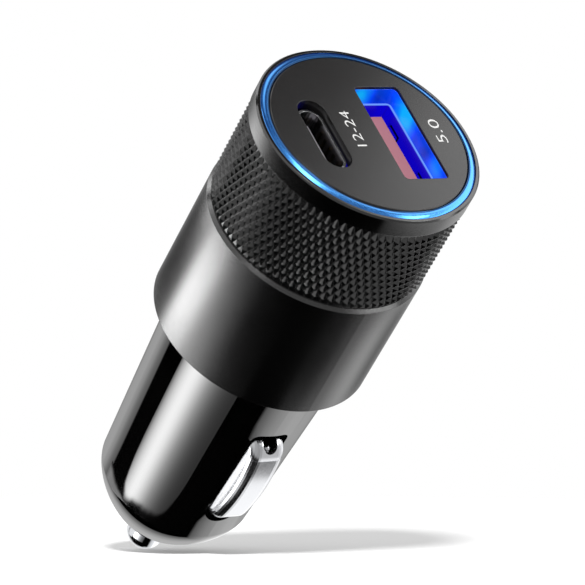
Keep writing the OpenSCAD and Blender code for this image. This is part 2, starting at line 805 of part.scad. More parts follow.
// side contact at +X: a bowed channel with a notch in its upper end, a bead in the notch
// and a strap at its lower end that curls round the plug's cross bar
module ground_contact() {
    notch_z = leaf_top - notch_len;
    bead_x = crown_x - bead_in;
    bead_z = leaf_top - bead_down;
    neck_low = notch_z - notch_w / 2 - 0.8;
    neck_x = crown_x - leaf_t - 0.1;
    neck_dx = neck_x - bead_x;
    neck_dz = neck_low - bead_z;
    neck_len = sqrt(neck_dx * neck_dx + neck_dz * neck_dz);
    color([0.78, 0.79, 0.81])
    union() {
        difference() {
            union() {
                leaf_arc(bow_x, crown_z, bow_r, low_angle, top_angle, wall_deep, 0, 180);
                leaf_arc(top_x, top_z, top_r, top_angle - bend_lap, tip_angle, bend_deep,
                    bend_in, 72);
                leaf_arc(low_x, low_z, low_r, -90, low_angle + bend_lap, bend_deep,
                    bend_in, 72);
            }
            box([0, -notch_w / 2, notch_z], [r_head, notch_w / 2, leaf_top + 1]);
            translate([0, 0, notch_z])
                rotate([0, 90, 0])
                    cylinder(r = notch_w / 2, h = r_head, $fn = 32);
        }
        box([pivot_x, -strap_half, leaf_low], [low_x + 0.15, strap_half, leaf_low + leaf_t]);
        translate([pivot_x, strap_half, pivot_z])
            rotate([90, 0, 0])
                rotate([0, 0, 90])
                    rotate_extrude(angle = 200, $fn = 48)
                        polygon([[curl_in, 0], [curl_out, 0],
                            [curl_out, 2 * strap_half], [curl_in, 2 * strap_half]]);
        translate([bead_x, 0, bead_z])
            union() {
                sphere(r = bead_r, $fn = 32);
                rotate([0, atan2(neck_dx, neck_dz), 0])
                    cylinder(r = neck_r, h = neck_len, $fn = 24);
            }
    }
}

head_shell();
accent_ring();
face_plate();
usb_a_surround();
usb_a_shell();
usb_a_tongue();
usb_a_contact(0);  // usb_a_contact_1
usb_a_contact(1);  // usb_a_contact_2
usb_a_contact(2);  // usb_a_contact_3
usb_a_contact(3);  // usb_a_contact_4
usb_c_shell();
usb_c_tongue();
usb_c_contact(0);  // usb_c_contact_1
usb_c_contact(1);  // usb_c_contact_2
usb_c_contact(2);  // usb_c_contact_3
usb_c_contact(3);  // usb_c_contact_4
usb_c_contact(4);  // usb_c_contact_5
usb_c_contact(5);  // usb_c_contact_6
port_board();
power_board();
inductor_core();
inductor_winding();
input_capacitor();
output_capacitor();
converter_chip();
controller_chip();
input_diode();
port_led(-1);  // port_led_left
port_led(1);  // port_led_right
positive_terminal();
contact_spring();
centre_contact();
plug_body();
rotate([0, 0, 180]) ground_contact();  // ground_contact_left
ground_contact();  // ground_contact_right
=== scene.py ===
# Charging plug for a vehicle socket: looks, stage and camera.
# Everything is in metres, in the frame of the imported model.
import bpy
import math
from mathutils import Matrix, Vector


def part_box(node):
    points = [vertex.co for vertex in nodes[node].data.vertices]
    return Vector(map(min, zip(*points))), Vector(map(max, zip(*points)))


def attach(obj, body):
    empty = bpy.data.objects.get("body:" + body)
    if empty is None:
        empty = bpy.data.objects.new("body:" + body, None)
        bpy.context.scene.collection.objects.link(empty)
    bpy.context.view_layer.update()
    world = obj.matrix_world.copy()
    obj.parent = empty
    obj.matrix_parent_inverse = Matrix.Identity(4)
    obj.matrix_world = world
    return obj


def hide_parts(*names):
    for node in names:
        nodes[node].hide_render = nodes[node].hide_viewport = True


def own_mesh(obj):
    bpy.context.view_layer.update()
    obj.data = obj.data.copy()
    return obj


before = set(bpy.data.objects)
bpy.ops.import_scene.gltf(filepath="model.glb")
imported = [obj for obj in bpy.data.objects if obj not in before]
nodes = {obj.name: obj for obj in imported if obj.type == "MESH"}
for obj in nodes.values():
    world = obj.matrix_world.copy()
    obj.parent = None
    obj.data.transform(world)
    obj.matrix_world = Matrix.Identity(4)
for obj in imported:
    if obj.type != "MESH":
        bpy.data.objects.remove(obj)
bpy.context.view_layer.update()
scene = bpy.context.scene
MM = 0.001


def linear(c):
    """Screen value 0-255 as a linear one."""
    c = c / 255
    return c / 12.92 if c <= 0.04045 else ((c + 0.055) / 1.055) ** 2.4


def rgb(r, g, b):
    return (linear(r), linear(g), linear(b), 1)


# camera
AZ, EL, ROLL = math.radians(45), math.radians(38.9), math.radians(29.58)
back = Vector((math.sin(AZ) * math.cos(EL), -math.cos(AZ) * math.cos(EL), math.sin(EL)))
level = Vector((math.cos(AZ), math.sin(AZ), 0))
rise = back.cross(level)
right = level * math.cos(ROLL) + rise * math.sin(ROLL)
up = rise * math.cos(ROLL) - level * math.sin(ROLL)
TARGET = Vector((0, 0, 6.42 * MM))
DISTANCE = 393 * MM
OFFSET = (-0.955 * MM, 0.78 * MM)

cam_data = bpy.data.cameras.new("camera")
cam_data.lens = 220.1
cam_data.sensor_width = 36
cam_data.clip_start = 0.01
cam_data.clip_end = 20
camera = bpy.data.objects.new("camera", cam_data)
scene.collection.objects.link(camera)
spot = TARGET + back * DISTANCE - right * OFFSET[0] - up * OFFSET[1]
turn = Matrix((right, up, back)).transposed().to_4x4()
camera.matrix_world = Matrix.Translation(spot) @ turn
scene.camera = camera

scene.view_settings.view_transform = "Standard"


# node helpers
class Tree:
    """Short calls for one material's nodes."""

    def __init__(self, name):
        self.mat = bpy.data.materials.new(name)
        self.mat.use_nodes = True
        self.nt = self.mat.node_tree
        self.nt.nodes.clear()
        self.out = self.nt.nodes.new("ShaderNodeOutputMaterial")
        self._coord = None

    def add(self, kind, **props):
        n = self.nt.nodes.new(kind)
        for k, v in props.items():
            setattr(n, k, v)
        return n

    def put(self, socket, value):
        if isinstance(value, bpy.types.NodeSocket):
            self.nt.links.new(value, socket)
        else:
            socket.default_value = value

    def place(self):
        if self._coord is None:
            self._coord = self.add("ShaderNodeTexCoord").outputs["Object"]
        return self._coord

    def scaled(self, scale):
        n = self.add("ShaderNodeMapping")
        self.put(n.inputs["Vector"], self.place())
        n.inputs["Scale"].default_value = scale
        return n.outputs["Vector"]

    def split(self):
        n = self.add("ShaderNodeSeparateXYZ")
        self.put(n.inputs[0], self.place())
        return n.outputs

    def vector(self, op, a, b=None):
        """Vector math; the number for LENGTH, DISTANCE and DOT_PRODUCT."""
        n = self.add("ShaderNodeVectorMath", operation=op)
        self.put(n.inputs[0], a)
        if b is not None:
            self.put(n.inputs["Scale" if op == "SCALE" else 1], b)
        one = op in ("LENGTH", "DISTANCE", "DOT_PRODUCT")
        return n.outputs["Value" if one else "Vector"]

    def noise(self, scale, detail=2.0, rough=0.5, vector=None):
        n = self.add("ShaderNodeTexNoise")
        self.put(n.inputs["Vector"], vector or self.place())
        n.inputs["Scale"].default_value = scale
        n.inputs["Detail"].default_value = detail
        n.inputs["Roughness"].default_value = rough
        return n.outputs["Fac"]

    def math(self, op, a, b=0.0, c=0.0, clamp=False):
        n = self.add("ShaderNodeMath", operation=op, use_clamp=clamp)
        self.put(n.inputs[0], a)
        self.put(n.inputs[1], b)
        self.put(n.inputs[2], c)
        return n.outputs[0]

    def ramp_range(self, value, low, high, to_low=0.0, to_high=1.0, smooth=False):
        n = self.add("ShaderNodeMapRange",
                     interpolation_type="SMOOTHSTEP" if smooth else "LINEAR")
        self.put(n.inputs["Value"], value)
        n.inputs["From Min"].default_value = low
        n.inputs["From Max"].default_value = high
        n.inputs["To Min"].default_value = to_low
        n.inputs["To Max"].default_value = to_high
        return n.outputs["Result"]

    def mix(self, fac, a, b):
        """Colour between a and b."""
        n = self.add("ShaderNodeMix", data_type="RGBA")
        self.put(n.inputs["Factor"], fac)
        self.put(n.inputs[6], a)
        self.put(n.inputs[7], b)
        return n.outputs[2]

    def ramp(self, fac, stops, ease="LINEAR"):
        n = self.add("ShaderNodeValToRGB")
        self.put(n.inputs[0], fac)
        colours = n.color_ramp
        colours.interpolation = ease
        while len(colours.elements) < len(stops):
            colours.elements.new(0.5)
        for mark, (pos, col) in zip(colours.elements, stops):
            mark.position = pos
            mark.color = col
        return n.outputs[0]

    def bump(self, height, strength, distance, normal=None):
        n = self.add("ShaderNodeBump")
        self.put(n.inputs["Height"], height)
        n.inputs["Strength"].default_value = strength
        n.inputs["Distance"].default_value = distance
        if normal is not None:
            self.put(n.inputs["Normal"], normal)
        return n.outputs["Normal"]

    def rounded(self, radius):
        """Normal softened over the edges, as a broken edge looks."""
        n = self.add("ShaderNodeBevel", samples=4)
        n.inputs["Radius"].default_value = radius
        return n.outputs[0]

    def blend(self, fac, a, b):
        """Number between a and b."""
        return self.math("ADD", self.math("MULTIPLY", self.math("SUBTRACT", 1.0, fac), a),
                         self.math("MULTIPLY", fac, b))

    def surface(self, base, rough, metal=0.0, ior=1.5, normal=None, **more):
        n = self.add("ShaderNodeBsdfPrincipled")
        self.put(n.inputs["Base Color"], base)
        self.put(n.inputs["Roughness"], rough)
        self.put(n.inputs["Metallic"], metal)
        n.inputs["IOR"].default_value = ior
        if normal is not None:
            self.put(n.inputs["Normal"], normal)
        for k, v in more.items():
            self.put(n.inputs[k.replace("_", " ")], v)
        self.nt.links.new(n.outputs[0], self.out.inputs[0])
        return self.mat


def grey(v):
    return (v, v, v, 1)


def tint(c, f):
    return (c[0] * f, c[1] * f, c[2] * f, 1)


def plain(name, colour, rough, metal=0.0, grain=900.0, vary=0.12, spread=0.05, bump=0.05,
          streak=None, edge=None, **more):
    """Common surface: colour and roughness wander with one noise, a finer one bumps it.
    streak stretches both, edge is the softened edges' radius in millimetres."""
    t = Tree(name)
    where = t.scaled(streak) if streak else None
    wander = t.noise(grain, 3, 0.6, where)
    base = t.mix(wander, tint(colour, 1 - vary), tint(colour, 1 + vary))
    r = t.ramp_range(wander, 0.25, 0.75, max(0.0, rough - spread), rough + spread)
    n = t.bump(t.noise(4000, 2, 0.5, where), bump, 0.02 * MM,
               t.rounded(edge * MM) if edge else None)
    return t.surface(base, r, metal, 1.5, n, **more)


def dress(mat, *names):
    """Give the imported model's nodes a material."""
    for n in names:
        data = nodes[n].data
        data.materials.clear()
        data.materials.append(mat)
        for p in data.polygons:
            p.material_index = 0


def top(node):
    """Height of a node's highest point."""
    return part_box(node)[1].z


# the knurled band's lower and upper height
KNURL = (16.2 * MM, 27.5 * MM)


def head_material():
    """Black anodised metal: satin below, knurled, glossier at the rim."""
    t = Tree("head_black")
    z = t.split()[2]
    low = t.ramp_range(z, KNURL[0] - 0.45 * MM, KNURL[0] - 0.30 * MM)
    high = t.ramp_range(z, KNURL[1] + 0.25 * MM, KNURL[1] + 0.40 * MM)
    knurl = t.math("SUBTRACT", low, high, clamp=True)
    grain = t.noise(5200, 3, 0.65)
    cloud = t.noise(160, 3, 0.6)
    turned = t.noise(60, 2, 0.5, t.scaled((1, 1, 160)))
    tone = t.math("MULTIPLY_ADD", cloud, 0.5, t.math("MULTIPLY", grain, 0.5))
    satin = t.mix(tone, grey(0.075), grey(0.1))
    base = t.mix(knurl, satin, t.mix(tone, grey(0.04), grey(0.16)))
    rough_body = t.ramp_range(tone, 0.3, 0.7, 0.13, 0.18)
    rough_rim = t.ramp_range(tone, 0.3, 0.7, 0.10, 0.15)
    m = t.add("ShaderNodeMix", data_type="FLOAT")
    t.put(m.inputs[0], high)
    t.put(m.inputs[2], rough_body)
    t.put(m.inputs[3], rough_rim)
    smooth = t.math("SUBTRACT", 1.0, t.math("MULTIPLY", high, 0.8))
    height = t.math("MULTIPLY", t.math("ADD", grain, t.math("MULTIPLY", turned, 0.35)),
                    smooth)
    normal = t.bump(height, 0.17, 0.02 * MM, t.rounded(0.07 * MM))
    return t.surface(base, m.outputs[0], 1.0, 1.5, normal)


def face_material():
    """Charcoal plastic with a fine grain."""
    t = Tree("face_charcoal")
    grain = t.noise(6500, 3, 0.6)
    cloud = t.noise(120, 2, 0.5)
    tone = t.math("MULTIPLY_ADD", cloud, 0.4, t.math("MULTIPLY", grain, 0.6))
    base = t.mix(tone, rgb(13, 12, 12), rgb(19, 18, 18))
    rough = t.ramp_range(tone, 0.3, 0.7, 0.2, 0.27)
    normal = t.bump(grain, 0.12, 0.015 * MM, t.rounded(0.12 * MM))
    return t.surface(base, rough, 0.0, 1.5, normal)


# radii that the blue ring's dome is shaded between; towards them it is darkened with painted
# shade, so its inner edge stays dark
RING = (11.62 * MM, 12.52 * MM)


def ring_material():
    """Blue metal with a domed face, painted shade at its edges and a faint painted glow."""
    t = Tree("ring_blue")
    grain = t.noise(3800, 2, 0.5)
    base = t.mix(grain, rgb(70, 142, 214), rgb(86, 158, 226))
    rough = t.ramp_range(grain, 0.3, 0.7, 0.14, 0.2)
    x, y = t.split()[0:2]
    r = t.math("SQRT", t.math("ADD", t.math("MULTIPLY", x, x), t.math("MULTIPLY", y, y)))
    across = t.ramp_range(r, RING[0], RING[1], -1, 1)
    dome = t.math("SUBTRACT", 1.0, t.math("MULTIPLY", across, across))
    normal = t.bump(dome, 1.0, 0.12 * MM)
    normal = t.bump(t.noise(2400, 2, 0.5), 0.04, 0.02 * MM, normal)
    # painted shade: the colour and the painted glow darken towards both edges of the ring
    edge = t.ramp_range(t.math("ABSOLUTE", across), 0.72, 1.0, 1.0, 0.12, smooth=True)
    glow = t.mix(edge, rgb(2, 6, 20), rgb(8, 66, 176))
    base = t.mix(edge, rgb(20, 40, 66), base)
    # the emission is a painted glow on the metal
    return t.surface(base, rough, 1.0, 1.5, normal, Emission_Color=glow,
                     Emission_Strength=0.22)


# spots of light in the blue trim: x, y, size and share, and their height
POOLS = ((-7.3, 2.5, 2.6, 0.9), (-3.4, 6.8, 3.4, 0.9), (4.6, 7.0, 2.6, 0.5),
         (2.0, 1.2, 3.0, 0.8), (7.2, 4.0, 2.4, 0.7))
POOL_Z = 29.2 * MM


def funnel_material():
    """Blue trim lit from behind: cyan pools on a deep blue."""
    t = Tree("funnel_blue")
    fine = t.noise(3000, 2, 0.5)
    pools = t.math("MULTIPLY", t.noise(420, 1.0, 0.4), 0.5)
    for x, y, size, share in POOLS:
        reach = t.vector("DISTANCE", t.place(), (x * MM, y * MM, POOL_Z))
        spread = t.ramp_range(reach, 0, size * MM, share, 0, smooth=True)
        pools = t.math("ADD", pools, spread)
    lit = t.ramp(pools, [(0.15, rgb(2, 10, 130)), (0.4, rgb(0, 56, 236)),
                         (0.75, rgb(4, 128, 240)), (1.0, rgb(12, 186, 236))])
    base = t.mix(fine, rgb(2, 40, 130), rgb(6, 56, 150))
    normal = t.bump(fine, 0.05, 0.02 * MM, t.rounded(0.1 * MM))
    return t.surface(base, t.ramp_range(fine, 0.3, 0.7, 0.16, 0.26), 0.0, 1.5, normal,
                     Emission_Color=lit, Emission_Strength=0.78)


def shell_a_material():
    """Tinned steel with the light of the trim above it painted on: a blue colour, a blue glow
    that fades deeper down, and a pale painted highlight at its mouth.
    """
    t = Tree("port_a_steel")
    z = t.split()[2]
    mouth = top("usb_a_shell")
    # painted light: the glow is dimmer deeper in the shell and brighter towards the mouth
    deep = t.ramp_range(z, mouth - 9.1 * MM, mouth, 0.0, 1.0, smooth=True)
    # painted highlight in a thin band at the mouth
    edge = t.ramp_range(z, mouth - 0.14 * MM, mouth - 0.04 * MM)
    fine = t.noise(2600, 2, 0.5)
    # blue painted into the steel's colour for the trim's light
    base = t.mix(fine, rgb(34, 34, 150), rgb(46, 46, 180))
    glow = t.mix(deep, rgb(4, 0, 60), rgb(14, 2, 190))
    glow = t.mix(edge, glow, rgb(120, 170, 250))
    normal = t.bump(fine, 0.06, 0.02 * MM)
    return t.surface(base, t.ramp_range(fine, 0.3, 0.7, 0.2, 0.3), 1.0, 1.5, normal,
                     Emission_Color=glow, Emission_Strength=0.8)


def tongue_a_material():
    """Pinkish moulding with painted light: a bright end and sides painted in the blue of the
    shell's light, with a painted glow.
    """
    t = Tree("port_a_plastic")
    z = t.split()[2]
    tip = top("usb_a_tongue")
    # painted light: colour and glow brighter towards the end, bluer down the sides
    end = t.ramp_range(z, tip - 0.75 * MM, tip - 0.05 * MM, 0.0, 1.0, smooth=True)
    fine = t.noise(2600, 3, 0.5)
    base = t.mix(end, t.mix(fine, rgb(70, 30, 130), rgb(86, 40, 150)),
                 t.mix(fine, rgb(104, 74, 70), rgb(120, 86, 82)))
    glow = t.mix(end, rgb(52, 8, 150), rgb(150, 70, 92))
    normal = t.bump(fine, 0.15, 0.02 * MM)
    return t.surface(base, t.ramp_range(fine, 0.3, 0.7, 0.45, 0.6), 0.0, 1.5, normal,
                     Emission_Color=glow, Emission_Strength=0.45)


# the curve that the nose is shaded by: where it starts, its radius, which is 0.02 mm over
# the plug's own, its length and its power
NOSE_Z, NOSE_R, NOSE_LEN, NOSE_POWER = -25.8 * MM, 9.26 * MM, 9.57 * MM, 1.4


def nose_normal(t):
    """Normal of the nose's own curve, so that reflections run over it without steps."""
    z = t.split()[2]
    flat = t.vector("MULTIPLY", t.place(), (1, 1, 0))
    wide = t.ramp_range(t.vector("LENGTH", flat), 0, NOSE_R)
    deep = t.ramp_range(z, NOSE_Z, NOSE_Z - NOSE_LEN)
    aside = t.math("MULTIPLY", t.math("POWER", wide, NOSE_POWER - 1), NOSE_LEN / NOSE_R)
    drop = t.add("ShaderNodeCombineXYZ")
    t.put(drop.inputs[2], t.math("MULTIPLY", t.math("POWER", deep, NOSE_POWER - 1), -1.0))
    outward = t.vector("SCALE", t.vector("NORMALIZE", flat), aside)
    curve = t.vector("NORMALIZE", t.vector("ADD", outward, drop.outputs[0]))
    own = t.add("ShaderNodeNewGeometry").outputs["Normal"]
    # only where the surface is the nose's outside, not its bore
    use = t.math("MULTIPLY", t.math("GREATER_THAN", t.vector("DOT_PRODUCT", curve, own), 0.9),
                 t.math("LESS_THAN", z, NOSE_Z))
    pick = t.add("ShaderNodeMix", data_type="VECTOR")
    t.put(pick.inputs["Factor"], use)
    t.put(pick.inputs[4], own)
    t.put(pick.inputs[5], curve)
    return pick.outputs[1]


def barrel_material():
    """Deep black gloss that shows the cards and the cloth."""
    t = Tree("barrel_black")
    cloud = t.noise(90, 2, 0.5)
    fine = t.noise(1600, 2, 0.5)
    base = t.mix(cloud, grey(0.001), grey(0.002))
    rough = t.ramp_range(cloud, 0.3, 0.7, 0.018, 0.032)
    normal = t.bump(t.math("MULTIPLY_ADD", cloud, 0.6, t.math("MULTIPLY", fine, 0.05)),
                    0.05, 0.05 * MM, nose_normal(t))
    return t.surface(base, rough, 0.0, 2.3, normal)


def board_material():
    """Green solder mask with copper tracks and pads."""
    t = Tree("board_green")
    tracks = t.add("ShaderNodeTexBrick")
    t.put(tracks.inputs["Vector"], t.scaled((900, 900, 700)))
    tracks.inputs["Scale"].default_value = 1
    tracks.inputs["Mortar Size"].default_value = 0.06
    fine = t.noise(2500, 2, 0.5)
    mask = t.mix(fine, rgb(8, 62, 34), rgb(14, 82, 44))
    base = t.mix(tracks.outputs["Fac"], mask, rgb(46, 120, 60))
    normal = t.bump(t.math("ADD", tracks.outputs["Fac"], fine), 0.12, 0.03 * MM)
    return t.surface(base, t.ramp_range(fine, 0.3, 0.7, 0.3, 0.42), 0.0, 1.5, normal)


def winding_material():
    """Enamelled copper with a line for every turn."""
    t = Tree("copper_wire")
    y = t.split()[1]
    turns = t.math("SINE", t.math("MULTIPLY", y, 2 * math.pi / (0.3 * MM)))
    fine = t.noise(2500, 2, 0.5)
    base = t.mix(fine, rgb(176, 92, 42), rgb(206, 122, 66))
    normal = t.bump(t.math("MULTIPLY_ADD", fine, 0.2, turns), 0.3, 0.05 * MM)
    return t.surface(base, t.ramp_range(fine, 0.3, 0.7, 0.22, 0.34), 1.0, 1.5, normal)


dress(head_material(), "head_shell")
dress(face_material(), "face_plate")
dress(ring_material(), "accent_ring")
dress(funnel_material(), "usb_a_surround")
dress(shell_a_material(), "usb_a_shell")
dress(tongue_a_material(), "usb_a_tongue")
dress(barrel_material(), "plug_body")
dress(plain("contact_gold", rgb(214, 176, 96), 0.24, 1.0),
      *["usb_a_contact_%d" % i for i in range(1, 5)],
      *["usb_c_contact_%d" % i for i in range(1, 7)])
dress(plain("port_c_steel", rgb(178, 178, 180), 0.2, 1.0, edge=0.08), "usb_c_shell")
dress(plain("port_c_plastic", rgb(96, 94, 98), 0.36, edge=0.1), "usb_c_tongue")
dress(board_material(), "port_board", "power_board")
dress(plain("ferrite", rgb(70, 70, 74), 0.6, grain=1800, bump=0.2), "inductor_core")
dress(winding_material(), "inductor_winding")
dress(plain("can_sleeve", rgb(170, 174, 180), 0.3, 1.0), "input_capacitor", "output_capacitor")
dress(plain("chip_epoxy", rgb(34, 34, 36), 0.55, bump=0.2), "converter_chip",
      "controller_chip", "input_diode")
dress(plain("led_lens", rgb(235, 238, 225), 0.25, Emission_Color=rgb(60, 130, 255),
            Emission_Strength=0.6), "port_led_left", "port_led_right")
dress(plain("nickel", rgb(214, 214, 212), 0.2, 1.0), "positive_terminal")
dress(plain("spring_steel", rgb(190, 192, 196), 0.22, 1.0, streak=(1, 1, 8)), "contact_spring")
dress(plain("tip_chrome", rgb(220, 222, 226), 0.1, 1.0, vary=0.04, spread=0.02,
            bump=0.02, edge=0.08), "centre_contact")
dress(plain("contact_chrome", rgb(214, 215, 218), 0.19, 1.0, vary=0.05, spread=0.03,
            grain=420, bump=0.03), "ground_contact_left", "ground_contact_right")


# printed numerals
FACE = top("face_plate")
INK = 0.004 * MM      # how far the print stands off the face
THINNER = 0.011 * MM  # taken off each side of a stroke


def numerals(name, body, at, size, width):
    """Flat figures on the face, centred at x, y and squeezed to the width."""
    text = bpy.data.curves.new(name, "FONT")
    text.body = body
    text.align_x = "CENTER"
    text.align_y = "CENTER"
    text.size = size
    text.resolution_u = 6
    text.offset = -THINNER
    letters = bpy.data.objects.new(name, text)
    scene.collection.objects.link(letters)
    bpy.context.view_layer.update()
    squeeze = width / letters.dimensions.x
    letters.matrix_world = Matrix.Translation((at[0], at[1], FACE + INK)) @ Matrix.Rotation(
        math.pi, 4, "Z") @ Matrix.Diagonal((squeeze, 1, 1, 1))
    bpy.context.view_layer.update()
    mesh = bpy.data.meshes.new_from_object(letters)
    mesh.transform(letters.matrix_world)
    piece = bpy.data.objects.new(name + "_print", mesh)
    scene.collection.objects.link(piece)
    bpy.data.objects.remove(letters)
    mesh.materials.clear()
    mesh.materials.append(ink)
    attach(piece, "plug")


ink = plain("white_ink", rgb(176, 176, 175), 0.5, grain=5000, vary=0.05)
numerals("narrow_port_numbers", "12-24", (-0.45 * MM, -1.8 * MM), 1.75 * MM, 5.2 * MM)
numerals("wide_port_numbers", "5.0", (-0.1 * MM, 8.95 * MM), 1.85 * MM, 3.5 * MM)


# centre contact's spring, drawn as a coil at rest in place of the model's own; the real one
# shortens as the contact is pressed
SPRING_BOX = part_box("contact_spring")
SPRING_LOW, SPRING_TOP = SPRING_BOX[0].z, SPRING_BOX[1].z
WIRE_R = 0.3 * MM
SPRING_R = SPRING_BOX[1].x - WIRE_R
SPRING_TURNS = 6


def coil(name, radius, wire_r, low, high, turns):
    """Closed coil whose first and last half turn lie flat."""
    per_turn, around = 40, 14
    n = turns * per_turn
    flat = 0.5 / turns
    verts = []
    for i in range(n + 1):
        share = i / n
        rise = min(max((share - flat) / (1 - 2 * flat), 0), 1)
        z = low + wire_r + (high - low - 2 * wire_r) * rise
        a = 2 * math.pi * turns * share
        for k in range(around):
            b = 2 * math.pi * k / around
            out = radius + wire_r * math.cos(b)
            verts.append((out * math.cos(a), out * math.sin(a), z + wire_r * math.sin(b)))
    faces = [(i * around + k, (i + 1) * around + k,
              (i + 1) * around + (k + 1) % around, i * around + (k + 1) % around)
             for i in range(n) for k in range(around)]
    faces += [tuple(range(around)), tuple(n * around + k for k in range(around - 1, -1, -1))]
    mesh = bpy.data.meshes.new(name)
    mesh.from_pydata(verts, [], faces)
    mesh.update()
    for p in mesh.polygons:
        p.use_smooth = len(p.vertices) == 4
    piece = bpy.data.objects.new(name, mesh)
    scene.collection.objects.link(piece)
    return piece


spring = coil("spring_coil", SPRING_R, WIRE_R, SPRING_LOW, SPRING_TOP, SPRING_TURNS)
spring.data.materials.append(bpy.data.materials["spring_steel"])
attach(spring, "plug")
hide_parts("contact_spring")
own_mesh(spring)


# stage: world, floor, lamps and reflectors
world = bpy.data.worlds.new("studio")
scene.world = world
world.use_nodes = True
sky = world.node_tree
sky.nodes.clear()
path = sky.nodes.new("ShaderNodeLightPath")
seen = path.outputs["Is Camera Ray"]
for kind in ("Is Glossy Ray", "Is Transmission Ray"):
    either = sky.nodes.new("ShaderNodeMath")
    either.operation = "MAXIMUM"
    sky.links.new(seen, either.inputs[0])
    sky.links.new(path.outputs[kind], either.inputs[1])
    seen = either.outputs[0]
# white where it is seen or reflected, dimmer as a light
strength = sky.nodes.new("ShaderNodeMapRange")
strength.inputs["To Min"].default_value = 0.55
strength.inputs["To Max"].default_value = 1.0
sky.links.new(seen, strength.inputs["Value"])
background = sky.nodes.new("ShaderNodeBackground")
background.inputs["Color"].default_value = (1, 1, 1, 1)
sky.links.new(strength.outputs[0], background.inputs["Strength"])
sky.links.new(background.outputs[0], sky.nodes.new("ShaderNodeOutputWorld").inputs[0])

# the floor's normal: up in the picture, dipped a little, and touched by the object
DIP = math.radians(-0.7)
ground = up * math.cos(DIP) + back * math.sin(DIP)
lowest = min((nodes[n].matrix_world @ v.co).dot(ground)
             for n in ("plug_body", "centre_contact") for v in nodes[n].data.vertices)
FOOT_Z = -35.9 * MM   # where the floor's middle starts, before it is moved to the object
foot = Vector((0, 0, FOOT_Z))
foot += ground * (lowest - foot.dot(ground))


def staged(name, verts, faces, mat, smooth=False):
    """A mesh for the stage, linked to the scene and not attached to the object."""
    mesh = bpy.data.meshes.new(name)
    mesh.from_pydata(verts, [], faces)
    mesh.update()
    mesh.materials.append(mat)
    if smooth:
        for p in mesh.polygons:
            p.use_smooth = True
    piece = bpy.data.objects.new(name, mesh)
    scene.collection.objects.link(piece)
    return piece


FLOOR_R = 0.15
FLOOR_FADE = (0.09, 0.145)
FLOOR_GLOW = 0.2      # only for the camera, so that the lit floor is as white as the world


def floor_material():
    """Pale matt floor that fades out to the white round it and is clear from below."""
    t = Tree("floor_pale")
    fade = t.ramp_range(t.vector("LENGTH", t.place()), *FLOOR_FADE, smooth=True)
    under = t.add("ShaderNodeNewGeometry").outputs["Backfacing"]
    clear = t.math("MAXIMUM", fade, under)
    diffuse = t.add("ShaderNodeBsdfDiffuse")
    fine = t.noise(300, 2, 0.5)
    t.put(diffuse.inputs["Color"], t.mix(fine, grey(0.84), grey(0.88)))
    glow = t.add("ShaderNodeEmission")
    glow.inputs["Color"].default_value = (1, 1, 1, 1)
    t.put(glow.inputs["Strength"],
          t.math("MULTIPLY", t.add("ShaderNodeLightPath").outputs["Is Camera Ray"],
                 FLOOR_GLOW))
    add = t.add("ShaderNodeAddShader")
    t.nt.links.new(diffuse.outputs[0], add.inputs[0])
    t.nt.links.new(glow.outputs[0], add.inputs[1])
    see = t.add("ShaderNodeBsdfTransparent")
    mix = t.add("ShaderNodeMixShader")
    t.put(mix.inputs[0], clear)
    t.nt.links.new(add.outputs[0], mix.inputs[1])
    t.nt.links.new(see.outputs[0], mix.inputs[2])
    t.nt.links.new(mix.outputs[0], t.out.inputs[0])
    return t.mat


def floor():
    """Disc under the tip, square to the direction that is up in the picture."""
    ring = 64
    a = ground.orthogonal().normalized()
    b = ground.cross(a)
    turn = Matrix((a, b, ground)).transposed().to_4x4()
    verts = [(0, 0, 0)] + [(FLOOR_R * math.cos(2 * math.pi * i / ring),
                            FLOOR_R * math.sin(2 * math.pi * i / ring), 0)
                           for i in range(ring)]
    faces = [(0, 1 + i, 1 + (i + 1) % ring) for i in range(ring)]
    disc = staged("floor", verts, faces, floor_material())
    disc.matrix_world = Matrix.Translation(foot) @ turn
    disc.visible_glossy = False
    disc.visible_diffuse = False
    disc.visible_shadow = False


floor()

VIEW = math.degrees(math.atan2(back.y, back.x))


def reflector_material(name, strength, stops, edge):
    """Glow along the arc from stops, faded at the card's foot and top."""
    t = Tree(name)
    uv = t.add("ShaderNodeSeparateXYZ")
    t.put(uv.inputs[0], t.add("ShaderNodeTexCoord").outputs["UV"])
    along = t.ramp(uv.outputs[0], [(p, grey(v)) for p, v in stops], "B_SPLINE")
    glow = t.add("ShaderNodeEmission")
    t.put(glow.inputs["Color"], along)
    power = strength
    if edge[0] or edge[1]:
        rise = t.ramp_range(uv.outputs[1], 0, max(edge[0], 1e-4), smooth=True)
        fall = t.ramp_range(uv.outputs[1], 1 - max(edge[1], 1e-4), 1, 1, 0, smooth=True)
        power = t.math("MULTIPLY", t.math("MULTIPLY", rise, fall), strength)
    t.put(glow.inputs["Strength"], power)
    t.nt.links.new(glow.outputs[0], t.out.inputs[0])
    return t.mat


def only_reflected(piece):
    piece.visible_camera = False
    piece.visible_diffuse = False
    piece.visible_transmission = False
    piece.visible_shadow = False
    piece.visible_volume_scatter = False


CARD_R = 0.15


